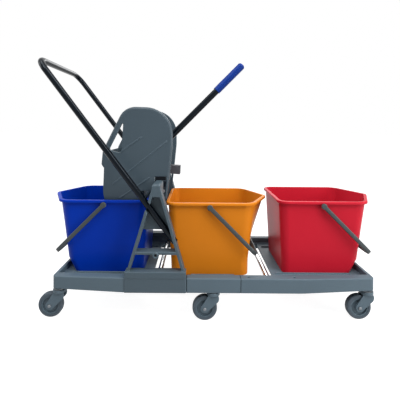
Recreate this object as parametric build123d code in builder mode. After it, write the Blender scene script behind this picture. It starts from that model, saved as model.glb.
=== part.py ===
"""Triple mop bucket trolley with a side-press wringer, as separate parts in one shared frame.

Millimetres. The floor is Z = 0, +Z is up, +X runs along the trolley toward the red bucket, and the
near side, with the push handle leaning to the left, faces -Y. X = Y = 0 is the middle of the base.
"""

import os
from math import atan2, cos, degrees, radians, sin, sqrt

from build123d import *

os.makedirs("parts", exist_ok=True)

# Shared clearances
SEATED = 0.2  # between a piece and what it rests on
RUNNING = 0.05  # radial clearance of a turning fit
SNUG = 0.03  # radial clearance of a fixed fit
REACH = 1  # how far a cutting tool runs past the face it cuts

# Where a box or cylinder stands on its location
ON_BASE = (Align.CENTER, Align.CENTER, Align.MIN)
UNDER_TOP = (Align.CENTER, Align.CENTER, Align.MAX)

# Base mouldings
BASE_HALF_LENGTH = 490
RAIL_HALF_WIDTH = 196
END_HALF_WIDTH = RAIL_HALF_WIDTH - 10
TAPER_X = 267
SEAM_X = 82
SEAM_CHAMFER = 1.5
RAIL_BOTTOM_Z = 89
END_BOTTOM_Z = 95
RAIL_TOP_Z = 132
RAIL_WALL = 26
END_WALL = 10
RAIL_EDGE_R = 3
BASE_CORNER_R = 14
SEAT_Z = 106
END_SEAT_Z = SEAT_Z + 7  # the outer buckets stand a little higher than the middle one
FLOOR_THICKNESS = 8
SEAT_START_X = 192
SEAT_OPENING = (160, 150)
SEAT_OPENING_X = BASE_HALF_LENGTH - 150
CENTRE_OPENING = (100, 110)
OPENING_R = 10
LEDGE_INNER_Y = RAIL_HALF_WIDTH - 38
GUIDE_RIB = (3, 5)
GUIDE_GAP = 3.3
GUIDE_INSET = 12
POCKET_WIDTH = 16
POCKET_DEPTH = 34
POCKET_RIB = 8  # left standing between two pockets
END_POCKETS = 4
STAND_POCKET = 36
STAND_POCKET_PITCH = 42
SEAM_POCKET = 36
SEAM_POCKET_X = 45

# Casters
WHEEL_R = 37.5
TYRE_WIDTH = 20
TYRE_EDGE_R = 5
HUB_R = 28
HUB_RIM = 4
HUB_BOSS_R = 10
HUB_WEB = 8
AXLE_R = 4
AXLE_HEAD_R = 5
AXLE_HEAD = 2
CASTER_TRAIL = 26
CASTER_BOSS_R = 15
CASTER_END_X = BASE_HALF_LENGTH - CASTER_BOSS_R - 1
CASTER_END_Y = END_HALF_WIDTH - 21
CASTER_MIDDLE_Y = RAIL_HALF_WIDTH - 20
STEM_R = 5.5
STEM_TOP_Z = SEAT_Z - 5
STEM_HEAD_R = 8
STEM_HEAD = 4
COLLAR_R = 17
COLLAR = 3
CROWN_R = 20
CROWN_BOTTOM_Z = 77
CROWN_GAP = 0.5
CROWN_TOP_Z = RAIL_BOTTOM_Z - COLLAR - CROWN_GAP
LEG_THICKNESS = 3.5
LEG_GAP = 1
LEG_FOOT_R = 12
LEG_CROWN_R = 17

# Stands and push handle
STAND_X = -176
STAND_FRONT_Y = RAIL_HALF_WIDTH - 6
STAND_INNER_Y = RAIL_HALF_WIDTH - 40
FOOT_HALF_LENGTH = 92
FOOT_TOP_Z = 151
FOOT_FRONT_Y = RAIL_HALF_WIDTH + 3
FOOT_SKIRT = 2
FOOT_BACK_Y = RAIL_HALF_WIDTH - 29
ARM_TOP_Z = 413
HEAD_HALF = 13
HEAD_HEIGHT = 39
HEAD_BOTTOM_Z = ARM_TOP_Z - HEAD_HEIGHT
HEAD_STRAIGHT = 13.7  # upright sides of the head, above the sloping legs
SHOULDER_Z = ARM_TOP_Z - HEAD_STRAIGHT
LEG_HALF_AT_FOOT = 87
LEG_SLOPE = (LEG_HALF_AT_FOOT - HEAD_HALF) / (SHOULDER_Z - FOOT_TOP_Z)
LEG_WALL = 8.9
LOWER_BAR_Z = (200, 208)
BAR_TO_HEAD = HEAD_BOTTOM_Z - LOWER_BAR_Z[1]
WEB_BOTTOM_Z = LOWER_BAR_Z[1] + 0.36 * BAR_TO_HEAD
WEB_THICKNESS = 4
WEB_FRONT_Y = STAND_INNER_Y + WEB_THICKNESS
ARM_EDGE_R = 8
RING_Z = 198
RING_R = 9
RING_HOLE_R = 4.5
RING_PROUD = 2
GUSSET = 10
GUSSET_DROP = 32
TUBE_R = 10
TUBE_WALL = 2
TUBE_Y = WEB_FRONT_Y + TUBE_R + REACH
TUBE_LOW = (-118.5, 233)
TUBE_HIGH = (-548, 796)
TUBE_BEND_R = 45
TUBE_SLOT = (60, 23)
TUBE_SLOT_Z = LOWER_BAR_Z[1] + 0.843 * BAR_TO_HEAD
TUBE_SOCKET = 230  # length of the stand's groove for the tube

# Fasteners
BOLT_R = 4
BOLT_HEAD_R = 6.5
BOLT_HEAD = 5
BOLT_GAP = 0.25
STAND_BOLT_SPACING = 140
STAND_BOLT_Y = RAIL_HALF_WIDTH - RAIL_WALL / 2
STAND_BOLT_TOP_Z = FOOT_TOP_Z - 4
COUNTERBORE_R = 8
COUNTERBORE = 9
FRAME_BOLT_R = 3.5
FRAME_BOLT_Z = 110
FRAME_BOLT_LENGTH = 34
FRAME_BOLT_BITE = 16  # length held in an end moulding
HANDLE_BOLT_R = 3
HANDLE_BOLT_ZS = (LOWER_BAR_Z[1] + 0.506 * BAR_TO_HEAD, LOWER_BAR_Z[1] + 0.711 * BAR_TO_HEAD)
CROSS_TUBE_R = 9
CROSS_TUBE_WALL = 1.5
CROSS_TUBE_X = 170
CROSS_TUBE_SOCKET = 4
CROSS_TUBE_Z = SEAT_Z + SEATED + CROSS_TUBE_R

# Buckets and bails
BLUE_FLAT_X = 206.5  # flat end of each bucket's lip; the blue one is drawn on the right and mirrored
RED_FLAT_X = 210
ORANGE_FLAT_X = -153
BUCKET_HEIGHT = 238
BUCKET_WALL = 3
BUCKET_FLOOR = 4
LIP_WIDTH = 7
LIP_HEIGHT = 8
LIP_R = 3
FLOOR_HALF_WIDTH = 113.7
NOSE_ROOM = BASE_HALF_LENGTH - END_WALL - BLUE_FLAT_X  # from the flat end of the lip to the end wall
MIDDLE_ROOM = CROSS_TUBE_X - CROSS_TUBE_R - 40.5 - ORANGE_FLAT_X  # and short of the cross tube
HEEL_HEIGHT = 44  # top of the chamfer under the pouring end
BAIL_U = 143  # pivot, measured from the flat end of the lip
BAIL_PIVOT_HEIGHT = 224
BAIL_BOSS_R = 9
BAIL_STUD_R = 5
BAIL_STUD = 6
BAIL_REACH = NOSE_ROOM - 58.5
MIDDLE_BAIL_REACH = MIDDLE_ROOM - 58.5
BAIL_THICKNESS = 5
BAIL_WIDTH = 13
BAIL_CHAMFER = 1.5
BAIL_BEND_R = 22
BAIL_GRIP = (14, 6)
BAIL_GRIP_R = 2
BAIL_GRIP_HALF = 108
BAIL_REST = 45  # degrees below level
BAIL_GAP = 1.2

# Wringer
PIVOT_X = -232
PIVOT_Z = 466
PANEL_INNER_Y = 102
PANEL_THICKNESS = 10
PANEL_OUTER_Y = PANEL_INNER_Y + PANEL_THICKNESS
PANEL_EDGE_R = 8
ARM_END_Y = PANEL_INNER_Y + 2
PAD_HEIGHT = 11.6
PAD_INSET = 4
NOTCH_X = (-190.5, -150)
NOTCH_TOP_Z = ARM_TOP_Z + PAD_HEIGHT + 2 * SEATED
RIB_WIDTH = 3.5
RIB_HEIGHT = 1.2
SHAFT_R = 6.5
SHAFT_BOSS_R = 14
SHAFT_BOSS = 8
SHAFT_SINK = 6
BASKET_R = 156
BASKET_WALL = 4
BASKET_WALL_X = -352
BASKET_END_X = PIVOT_X - 4
BASKET_TOP_Z = PIVOT_Z + 39
DRAIN_SLOT = 7
DRAIN_PITCH = 28
DRAIN_COLUMNS = 6
WALL_SLOT = 40
WALL_SLOT_PITCH = 58
WALL_SLOT_Z = PIVOT_Z - 28
FLOOR_SLOT = 18
FLOOR_SLOT_ANGLES = (232, 242, 252, 262)
PRESS_SLOT = 30
PRESS_SLOT_PITCH = 46
PRESS_SLOT_DROP = 96
BEAM_X = (-160, -152)
BEAM_Z = (PIVOT_Z - 38, PIVOT_Z - 20)
STOP_LENGTH = 40
STOP_HALF_WIDTH = 15
STOP_EDGE_R = 2.5
SPRING_LUG_Y = (40, 50)
TIE_R = 4
TIE_NUT_R = 7
TIE_NUT = 4
TIE_GAP = 0.4
TIE_REACH = BASKET_R + BASKET_WALL + TIE_R + TIE_GAP
TIE_ANGLES = (247, 263)
PANEL_FOOT_Z = PIVOT_Z - TIE_REACH - TIE_NUT_R - 4.6

# Lever and press plate
LEVER_ANGLE = 45.5
LEVER_R = 11.5
LEVER_WALL = 2
LEVER_START = 20
LEVER_END = 472
GRIP_R = 13.5
GRIP_START = 353
GRIP_END = 486
GRIP_END_R = 9
SOCKET_R = 16
SOCKET_END = 62
HUB_LENGTH = 64
PRESS_HUB_R = 15
PRESS_THICKNESS = 10
PRESS_FLOOR_GAP = 12
PRESS_REACH = BASKET_R - PRESS_FLOOR_GAP
PRESS_TOP_GAP = 17
PRESS_HALF_WIDTH = 92
LEVER_BOLT_AT = 50
LEVER_BOLT_HEAD = 4
SPRING_R = 10
SPRING_WIRE_R = 1.2
SPRING_PITCH = 3
SPRING_TURNS = 3  # whole turns, before the last stretch round to the lever
SPRING_FIXED_LEG = 82
SPRING_MOVING_LEG = 44
SPRING_BAR = (30, 42)
SPRING_BAR_HALF = 38
SPRING_BAR_DEPTH = 6
COIL_START = 90
COIL_END = COIL_START + 180 + LEVER_ANGLE + 360 * SPRING_TURNS
COIL_HUB_GAP = 1.8
COIL_INNER_Y = HUB_LENGTH / 2 + COIL_HUB_GAP
COIL_OUTER_Y = COIL_INNER_Y + SPRING_PITCH * (COIL_END - COIL_START) / 360


def upright(y):
    """A plane across the trolley's width at y: sketch x is X, sketch y is Z, and it faces -Y."""
    return Plane.XZ.offset(-y)


def rail_half_width(x):
    """Outer face of the rails at x."""
    drawn_in = max(0, abs(x) - TAPER_X) / (BASE_HALF_LENGTH - TAPER_X)
    return RAIL_HALF_WIDTH - drawn_in * (RAIL_HALF_WIDTH - END_HALF_WIDTH)


def leg_half_width(z):
    """Outer edge of a stand's legs at height z, from the middle of the stand."""
    return max(HEAD_HALF, LEG_HALF_AT_FOOT - LEG_SLOPE * (z - FOOT_TOP_Z))


def tube_x(z):
    """X of the push handle's straight stretch at height z."""
    low_x, low_z = TUBE_LOW
    high_x, high_z = TUBE_HIGH
    return low_x + (high_x - low_x) * (z - low_z) / (high_z - low_z)


def save(part, label):
    """Name a finished piece and write its STEP file."""
    part.label = label
    export_step(part, f"parts/{label}.step")


# Base mouldings


def cut_between_rails(plan, seat_z):
    """Open the space between the rails above and below the seat floor."""
    heights = ((seat_z, RAIL_TOP_Z + REACH), (RAIL_BOTTOM_Z - REACH, seat_z - FLOOR_THICKNESS))
    for low, high in heights:
        with BuildSketch(Plane.XY.offset(low)) as space:
            with BuildLine():
                Polyline(*plan, close=True)
            make_face()
        extrude(space.sketch, amount=high - low, mode=Mode.SUBTRACT)


def rail_pockets(centres, length):
    """Hollow both rails from below between ribs."""
    for x in centres:
        middle = rail_half_width(x) - RAIL_WALL / 2
        with Locations((x, -middle, RAIL_BOTTOM_Z - REACH), (x, middle, RAIL_BOTTOM_Z - REACH)):
            Box(length, POCKET_WIDTH, POCKET_DEPTH + REACH, align=ON_BASE, mode=Mode.SUBTRACT)


def caster_bosses(x, y):
    """Solid bosses under the floor, bored for the swivel pins."""
    with Locations((x, -y, RAIL_BOTTOM_Z), (x, y, RAIL_BOTTOM_Z)):
        Cylinder(CASTER_BOSS_R, SEAT_Z - RAIL_BOTTOM_Z, align=ON_BASE)
        Cylinder(
            STEM_R + SNUG,
            STEM_TOP_Z + REACH - RAIL_BOTTOM_Z,
            align=ON_BASE,
            mode=Mode.SUBTRACT,
        )


with BuildPart() as base_right:
    inner_half = RAIL_HALF_WIDTH - RAIL_WALL
    inner_end_x = BASE_HALF_LENGTH - END_WALL
    inner_end_half = rail_half_width(inner_end_x) - RAIL_WALL
    with BuildSketch(Plane.XY.offset(RAIL_BOTTOM_Z)):
        with BuildLine():
            Polyline(
                (SEAM_X, -RAIL_HALF_WIDTH),
                (TAPER_X, -RAIL_HALF_WIDTH),
                (BASE_HALF_LENGTH, -END_HALF_WIDTH),
                (BASE_HALF_LENGTH, END_HALF_WIDTH),
                (TAPER_X, RAIL_HALF_WIDTH),
                (SEAM_X, RAIL_HALF_WIDTH),
                close=True,
            )
        make_face()
    extrude(amount=RAIL_TOP_Z - RAIL_BOTTOM_Z)
    fillet(base_right.edges().filter_by(Axis.Z).group_by(Axis.X)[-1], BASE_CORNER_R)
    top_edges = base_right.faces().sort_by(Axis.Z)[-1].edges()
    fillet(top_edges.filter_by(lambda edge: edge.center().X > SEAM_X + REACH), RAIL_EDGE_R)
    with BuildSketch(Plane.XZ):
        with BuildLine():
            Polyline(
                (TAPER_X, RAIL_BOTTOM_Z),
                (BASE_HALF_LENGTH + REACH, END_BOTTOM_Z),
                (BASE_HALF_LENGTH + REACH, RAIL_BOTTOM_Z - REACH),
                (TAPER_X, RAIL_BOTTOM_Z - REACH),
                close=True,
            )
        make_face()
    extrude(amount=RAIL_HALF_WIDTH + REACH, both=True, mode=Mode.SUBTRACT)
    cut_between_rails(
        (
            (SEAM_X - REACH, -inner_half),
            (TAPER_X, -inner_half),
            (inner_end_x, -inner_end_half),
            (inner_end_x, inner_end_half),
            (TAPER_X, inner_half),
            (SEAM_X - REACH, inner_half),
        ),
        END_SEAT_Z,
    )
    with BuildSketch(Plane.XY.offset(END_SEAT_Z)):
        with Locations((SEAT_OPENING_X, 0)):
            RectangleRounded(*SEAT_OPENING, OPENING_R)
        with Locations(((SEAM_X + SEAT_START_X) / 2 - OPENING_R, 0)):
            RectangleRounded(SEAT_START_X - SEAM_X + 2 * OPENING_R, 2 * LEDGE_INNER_Y, OPENING_R)
    extrude(amount=-FLOOR_THICKNESS - REACH, mode=Mode.SUBTRACT)
    caster_bosses(CASTER_END_X, CASTER_END_Y)
    rail_pockets([-STAND_X + step * STAND_POCKET_PITCH for step in (-1, 0, 1)], STAND_POCKET)
    boss_start_x = CASTER_END_X - CASTER_BOSS_R
    pocket_pitch = (boss_start_x - TAPER_X) / END_POCKETS
    pocket_xs = [TAPER_X + (step + 0.5) * pocket_pitch for step in range(END_POCKETS)]
    rail_pockets(pocket_xs, pocket_pitch - POCKET_RIB)
    guide_x = (SEAT_START_X + boss_start_x) / 2
    guide_y = FLOOR_HALF_WIDTH + GUIDE_GAP + GUIDE_RIB[0] / 2
    with Locations((guide_x, -guide_y, END_SEAT_Z), (guide_x, guide_y, END_SEAT_Z)):
        Box(boss_start_x - SEAT_START_X - 2 * GUIDE_INSET, *GUIDE_RIB, align=ON_BASE)
    with Locations(Plane((CROSS_TUBE_X, 0, CROSS_TUBE_Z), z_dir=(0, 1, 0))):
        Cylinder(CROSS_TUBE_R + SNUG, 2 * (inner_half + CROSS_TUBE_SOCKET), mode=Mode.SUBTRACT)
    for bolt_y in (-STAND_BOLT_Y, STAND_BOLT_Y):
        for bolt_x in (-STAND_X - STAND_BOLT_SPACING / 2, -STAND_X + STAND_BOLT_SPACING / 2):
            with Locations((bolt_x, bolt_y, RAIL_BOTTOM_Z)):
                Cylinder(BOLT_R + BOLT_GAP, 2 * RAIL_TOP_Z, mode=Mode.SUBTRACT)
                Cylinder(COUNTERBORE_R, 2 * COUNTERBORE, mode=Mode.SUBTRACT)
        with Locations(Plane((SEAM_X, bolt_y, FRAME_BOLT_Z), z_dir=(1, 0, 0))):
            Cylinder(FRAME_BOLT_R + SNUG, 2 * FRAME_BOLT_BITE, mode=Mode.SUBTRACT)

with BuildPart() as base_left:
    mirror(base_right.part, about=Plane.YZ)

with BuildPart() as base_centre:
    half_length = SEAM_X - SEATED
    with BuildSketch(Plane.XY.offset(RAIL_BOTTOM_Z)):
        Rectangle(2 * half_length, 2 * RAIL_HALF_WIDTH)
    extrude(amount=RAIL_TOP_Z - RAIL_BOTTOM_Z)
    chamfer(base_centre.edges().filter_by(Axis.Z), SEAM_CHAMFER)
    long_edges = base_centre.faces().sort_by(Axis.Z)[-1].edges().filter_by(Axis.X)
    fillet(long_edges, RAIL_EDGE_R)
    span = SEAM_X + REACH
    plan = ((-span, -inner_half), (span, -inner_half), (span, inner_half), (-span, inner_half))
    cut_between_rails(plan, SEAT_Z)
    with BuildSketch(Plane.XY.offset(SEAT_Z)):
        RectangleRounded(*CENTRE_OPENING, OPENING_R)
    extrude(amount=-FLOOR_THICKNESS - REACH, mode=Mode.SUBTRACT)
    caster_bosses(0, CASTER_MIDDLE_Y)
    rail_pockets((-SEAM_POCKET_X, SEAM_POCKET_X), SEAM_POCKET)
    with Locations((0, -guide_y, SEAT_Z), (0, guide_y, SEAT_Z)):
        Box(2 * (SEAM_X - GUIDE_INSET), *GUIDE_RIB, align=ON_BASE)
    with Locations((0, -STAND_BOLT_Y, FRAME_BOLT_Z), (0, STAND_BOLT_Y, FRAME_BOLT_Z)):
        for side in (-1, 1):
            with Locations(Plane((side * SEAM_X, 0, 0), z_dir=(1, 0, 0))):
                Cylinder(FRAME_BOLT_R + BOLT_GAP, 2 * (SEAM_X - SEAM_POCKET_X), mode=Mode.SUBTRACT)

with BuildPart() as frame_bolts:
    head_x = SEAM_POCKET_X + SEAM_POCKET / 2
    for side in (-1, 1):
        for bolt_y in (-STAND_BOLT_Y, STAND_BOLT_Y):
            with Locations(Plane((side * head_x, bolt_y, FRAME_BOLT_Z), z_dir=(side, 0, 0))):
                Cylinder(FRAME_BOLT_R, FRAME_BOLT_LENGTH, align=ON_BASE)
                Cylinder(BOLT_HEAD_R, BOLT_HEAD, align=UNDER_TOP)

with BuildPart() as cross_tubes:
    tube_length = 2 * (inner_half + CROSS_TUBE_SOCKET - SEATED)
    for side in (-1, 1):
        with Locations(Plane((side * CROSS_TUBE_X, 0, CROSS_TUBE_Z), z_dir=(0, 1, 0))):
            Cylinder(CROSS_TUBE_R, tube_length)
            Cylinder(CROSS_TUBE_R - CROSS_TUBE_WALL, tube_length, mode=Mode.SUBTRACT)

for name, piece in (
    ("base_left", base_left),
    ("base_centre", base_centre),
    ("base_right", base_right),
    ("frame_bolts", frame_bolts),
    ("cross_tubes", cross_tubes),
):
    save(piece.part, name)

# Casters

CASTERS = {
    "near_left": (-CASTER_END_X, -CASTER_END_Y),
    "near_middle": (0, -CASTER_MIDDLE_Y),
    "near_right": (CASTER_END_X, -CASTER_END_Y),
    "far_left": (-CASTER_END_X, CASTER_END_Y),
    "far_middle": (0, CASTER_MIDDLE_Y),
    "far_right": (CASTER_END_X, CASTER_END_Y),
}
LEG_INNER = TYRE_WIDTH / 2 + LEG_GAP
LEG_OUTER = LEG_INNER + LEG_THICKNESS

with BuildPart() as caster_stems:
    with Locations(*[(x, y, 0) for x, y in CASTERS.values()]):
        with Locations((0, 0, CROWN_BOTTOM_Z - SEATED - STEM_HEAD)):
            Cylinder(STEM_HEAD_R, STEM_HEAD, align=ON_BASE)
            Cylinder(
                STEM_R,
                STEM_TOP_Z - CROWN_BOTTOM_Z + SEATED + STEM_HEAD,
                align=ON_BASE,
            )
        with Locations((0, 0, RAIL_BOTTOM_Z - COLLAR)):
            Cylinder(COLLAR_R, COLLAR, align=ON_BASE)
save(caster_stems.part, "caster_stems")


def caster_fork(x, y):
    """Swivel hood: a round crown on the pin with two legs down to the axle."""
    with BuildPart() as fork:
        with BuildSketch(upright(y)):
            with Locations((x, CROWN_TOP_Z - LEG_CROWN_R)):
                Circle(LEG_CROWN_R)
            with Locations((x - CASTER_TRAIL, WHEEL_R)):
                Circle(LEG_FOOT_R)
            make_hull()
        extrude(amount=LEG_OUTER, both=True)
        with Locations((x, y, CROWN_BOTTOM_Z)):
            Cylinder(CROWN_R, CROWN_TOP_Z - CROWN_BOTTOM_Z, align=ON_BASE)
        with Locations((x - CASTER_TRAIL / 2, y, CROWN_BOTTOM_Z)):
            Box(
                4 * CROWN_R + CASTER_TRAIL,
                2 * LEG_INNER,
                CROWN_BOTTOM_Z,
                align=UNDER_TOP,
                mode=Mode.SUBTRACT,
            )
        with Locations((x, y, CROWN_BOTTOM_Z)):
            Cylinder(STEM_R + RUNNING, 4 * CROWN_R, mode=Mode.SUBTRACT)
        with Locations(Plane((x - CASTER_TRAIL, y, WHEEL_R), z_dir=(0, 1, 0))):
            Cylinder(AXLE_R + SNUG, 4 * LEG_OUTER, mode=Mode.SUBTRACT)
    return fork.part


def caster_axle(x, y):
    """Riveted axle with a flat head on each end."""
    with BuildPart() as axle:
        with Locations(Plane((x - CASTER_TRAIL, y, WHEEL_R), z_dir=(0, 1, 0))):
            Cylinder(AXLE_R, 2 * LEG_OUTER)
            with Locations((0, 0, -LEG_OUTER - AXLE_HEAD / 2), (0, 0, LEG_OUTER + AXLE_HEAD / 2)):
                Cylinder(AXLE_HEAD_R, AXLE_HEAD)
    return axle.part


def caster_hub(x, y):
    """Wheel centre: boss, web and rim turned as one profile."""
    half = TYRE_WIDTH / 2
    with BuildPart() as hub:
        with BuildSketch(Plane.XY):
            with BuildLine():
                Polyline(
                    (AXLE_R + RUNNING, -half),
                    (HUB_BOSS_R, -half),
                    (HUB_BOSS_R, -HUB_WEB / 2),
                    (HUB_R - HUB_RIM, -HUB_WEB / 2),
                    (HUB_R - HUB_RIM, 1 - half),
                    (HUB_R, 1 - half),
                    (HUB_R, half - 1),
                    (HUB_R - HUB_RIM, half - 1),
                    (HUB_R - HUB_RIM, HUB_WEB / 2),
                    (HUB_BOSS_R, HUB_WEB / 2),
                    (HUB_BOSS_R, half),
                    (AXLE_R + RUNNING, half),
                    close=True,
                )
            make_face()
        revolve(axis=Axis.Y)
    return hub.part.moved(Location((x - CASTER_TRAIL, y, WHEEL_R)))


def caster_tyre(x, y):
    """Round-shouldered tread on the hub's rim."""
    with BuildPart() as tyre:
        with Locations(Plane((x - CASTER_TRAIL, y, WHEEL_R), z_dir=(0, 1, 0))):
            Cylinder(WHEEL_R, TYRE_WIDTH)
            fillet(tyre.edges().filter_by(GeomType.CIRCLE), TYRE_EDGE_R)
            Cylinder(HUB_R + SNUG, TYRE_WIDTH, mode=Mode.SUBTRACT)
    return tyre.part


for corner, (caster_x, caster_y) in CASTERS.items():
    save(caster_fork(caster_x, caster_y), f"fork_{corner}")
    save(caster_axle(caster_x, caster_y), f"axle_{corner}")
    save(caster_hub(caster_x, caster_y), f"hub_{corner}")
    save(caster_tyre(caster_x, caster_y), f"tyre_{corner}")

# Stands

TUBE_TILT = degrees(atan2(TUBE_HIGH[1] - TUBE_LOW[1], TUBE_HIGH[0] - TUBE_LOW[0]))
TUBE_DIRECTION = (cos(radians(TUBE_TILT)), 0, sin(radians(TUBE_TILT)))


def leg_band(low, high, wall):
    """Corners of the space between the legs from low to high, wall in from their outer edges."""
    low_half = leg_half_width(low) - wall
    high_half = leg_half_width(high) - wall
    return (
        (STAND_X - low_half, low),
        (STAND_X + low_half, low),
        (STAND_X + high_half, high),
        (STAND_X - high_half, high),
    )


with BuildPart() as stand_near:
    with BuildSketch(upright(-STAND_INNER_Y)):
        with BuildLine():
            Polyline(
                (STAND_X - LEG_HALF_AT_FOOT, FOOT_TOP_Z),
                (STAND_X + LEG_HALF_AT_FOOT, FOOT_TOP_Z),
                (STAND_X + HEAD_HALF, SHOULDER_Z),
                (STAND_X + HEAD_HALF, ARM_TOP_Z),
                (STAND_X - HEAD_HALF, ARM_TOP_Z),
                (STAND_X - HEAD_HALF, SHOULDER_Z),
                close=True,
            )
        make_face()
    extrude(amount=STAND_FRONT_Y - STAND_INNER_Y)
    with Locations((STAND_X, -ARM_END_Y, HEAD_BOTTOM_Z)):
        Box(
            2 * HEAD_HALF,
            STAND_INNER_Y - ARM_END_Y,
            ARM_TOP_Z - HEAD_BOTTOM_Z,
            align=(Align.CENTER, Align.MAX, Align.MIN),
        )
    top_face = stand_near.faces().sort_by(Axis.Z)[-1]
    fillet(top_face.edges().filter_by(Axis.Y) + top_face.edges().sort_by(Axis.Y)[:1], ARM_EDGE_R)
    for low, high in ((FOOT_TOP_Z, LOWER_BAR_Z[0]), (LOWER_BAR_Z[1], WEB_BOTTOM_Z)):
        with BuildSketch(upright(-STAND_INNER_Y + REACH)):
            with BuildLine():
                Polyline(*leg_band(low, high, LEG_WALL), close=True)
            make_face()
        extrude(amount=STAND_FRONT_Y - STAND_INNER_Y + 2 * REACH, mode=Mode.SUBTRACT)
    with BuildSketch(upright(-WEB_FRONT_Y)):
        with BuildLine():
            Polyline(*leg_band(WEB_BOTTOM_Z - REACH, HEAD_BOTTOM_Z, LEG_WALL), close=True)
        make_face()
    extrude(amount=STAND_FRONT_Y - WEB_FRONT_Y + REACH, mode=Mode.SUBTRACT)
    gusset_tip_y = -PANEL_OUTER_Y - RIB_HEIGHT - PANEL_EDGE_R
    gusset_foot_z = HEAD_BOTTOM_Z - GUSSET_DROP
    with BuildSketch(Plane.YZ.offset(STAND_X - GUSSET / 2)):
        with BuildLine():
            Polyline(
                (-STAND_INNER_Y - REACH, HEAD_BOTTOM_Z + REACH),
                (gusset_tip_y, HEAD_BOTTOM_Z + REACH),
                (gusset_tip_y, HEAD_BOTTOM_Z),
                (-STAND_INNER_Y, gusset_foot_z),
                (-STAND_INNER_Y - REACH, gusset_foot_z),
                close=True,
            )
        make_face()
    extrude(amount=GUSSET)
    with Locations((STAND_X, -FOOT_BACK_Y, FOOT_TOP_Z)):
        Box(
            2 * FOOT_HALF_LENGTH,
            FOOT_FRONT_Y - FOOT_BACK_Y,
            FOOT_TOP_Z - RAIL_TOP_Z - SEATED,
            align=(Align.CENTER, Align.MAX, Align.MAX),
        )
    with Locations((STAND_X, -RAIL_HALF_WIDTH - SEATED, RAIL_BOTTOM_Z)):
        Box(
            2 * FOOT_HALF_LENGTH,
            FOOT_SKIRT,
            FOOT_TOP_Z - RAIL_BOTTOM_Z - RAIL_EDGE_R,
            align=(Align.CENTER, Align.MAX, Align.MIN),
        )
    with Locations(Plane((STAND_X, -STAND_FRONT_Y - RING_PROUD, RING_Z), z_dir=(0, 1, 0))):
        Cylinder(RING_R, STAND_FRONT_Y + RING_PROUD - FOOT_BACK_Y, align=ON_BASE)
        Cylinder(RING_HOLE_R, 2 * STAND_FRONT_Y, mode=Mode.SUBTRACT)
    with BuildSketch(upright(-WEB_FRONT_Y)):
        with Locations((tube_x(TUBE_SLOT_Z), TUBE_SLOT_Z)):
            Rectangle(*TUBE_SLOT, rotation=TUBE_TILT)
    extrude(amount=STAND_FRONT_Y - WEB_FRONT_Y + REACH, mode=Mode.SUBTRACT)
    with Locations(Plane((TUBE_LOW[0], -TUBE_Y, TUBE_LOW[1]), z_dir=TUBE_DIRECTION)):
        with Locations((0, 0, -SEATED)):
            Cylinder(TUBE_R + SNUG, TUBE_SOCKET, align=ON_BASE, mode=Mode.SUBTRACT)
    for bolt_x in (STAND_X - STAND_BOLT_SPACING / 2, STAND_X + STAND_BOLT_SPACING / 2):
        with Locations((bolt_x, -STAND_BOLT_Y, RAIL_TOP_Z)):
            Cylinder(BOLT_R + SNUG, 2 * (STAND_BOLT_TOP_Z + SEATED - RAIL_TOP_Z), mode=Mode.SUBTRACT)
    for bolt_z in HANDLE_BOLT_ZS:
        with Locations(Plane((tube_x(bolt_z), -STAND_INNER_Y, bolt_z), z_dir=(0, 1, 0))):
            Cylinder(HANDLE_BOLT_R + BOLT_GAP, 2 * (TUBE_Y - STAND_INNER_Y), mode=Mode.SUBTRACT)
save(stand_near.part, "stand_near")

with BuildPart() as stand_far:
    mirror(stand_near.part, about=Plane.XZ)
save(stand_far.part, "stand_far")

with BuildPart() as stand_bolts:
    head_z = RAIL_BOTTOM_Z + COUNTERBORE
    for bolt_x in (STAND_X - STAND_BOLT_SPACING / 2, STAND_X + STAND_BOLT_SPACING / 2):
        with Locations((bolt_x, -STAND_BOLT_Y, head_z), (bolt_x, STAND_BOLT_Y, head_z)):
            Cylinder(BOLT_R, STAND_BOLT_TOP_Z - head_z, align=ON_BASE)
            Cylinder(BOLT_HEAD_R, BOLT_HEAD, align=UNDER_TOP)
save(stand_bolts.part, "stand_bolts")

# Push handle

with BuildPart() as push_handle:
    with BuildLine() as handle_path:
        FilletPolyline(
            (TUBE_LOW[0], -TUBE_Y, TUBE_LOW[1]),
            (TUBE_HIGH[0], -TUBE_Y, TUBE_HIGH[1]),
            (TUBE_HIGH[0], TUBE_Y, TUBE_HIGH[1]),
            (TUBE_LOW[0], TUBE_Y, TUBE_LOW[1]),
            radius=TUBE_BEND_R,
        )
    with BuildSketch(Plane(handle_path.line @ 0, z_dir=handle_path.line % 0)):
        Circle(TUBE_R)
        Circle(TUBE_R - TUBE_WALL, mode=Mode.SUBTRACT)
    sweep()
    for bolt_z in HANDLE_BOLT_ZS:
        for side in (-1, 1):
            with Locations(Plane((tube_x(bolt_z), side * TUBE_Y, bolt_z), z_dir=(0, -side, 0))):
                Cylinder(
                    HANDLE_BOLT_R + SNUG,
                    2 * TUBE_R,
                    align=ON_BASE,
                    mode=Mode.SUBTRACT,
                )
save(push_handle.part, "push_handle")

with BuildPart() as handle_bolts:
    for bolt_z in HANDLE_BOLT_ZS:
        for side in (-1, 1):
            with Locations(Plane((tube_x(bolt_z), side * STAND_INNER_Y, bolt_z), z_dir=(0, side, 0))):
                Cylinder(
                    HANDLE_BOLT_R,
                    TUBE_Y - STAND_INNER_Y - TUBE_WALL,
                    align=ON_BASE,
                )
                Cylinder(BOLT_HEAD_R, BOLT_HEAD, align=UNDER_TOP)
save(handle_bolts.part, "handle_bolts")

# Buckets: plan outlines by height above the seat, measured from the flat end of the lip

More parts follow.
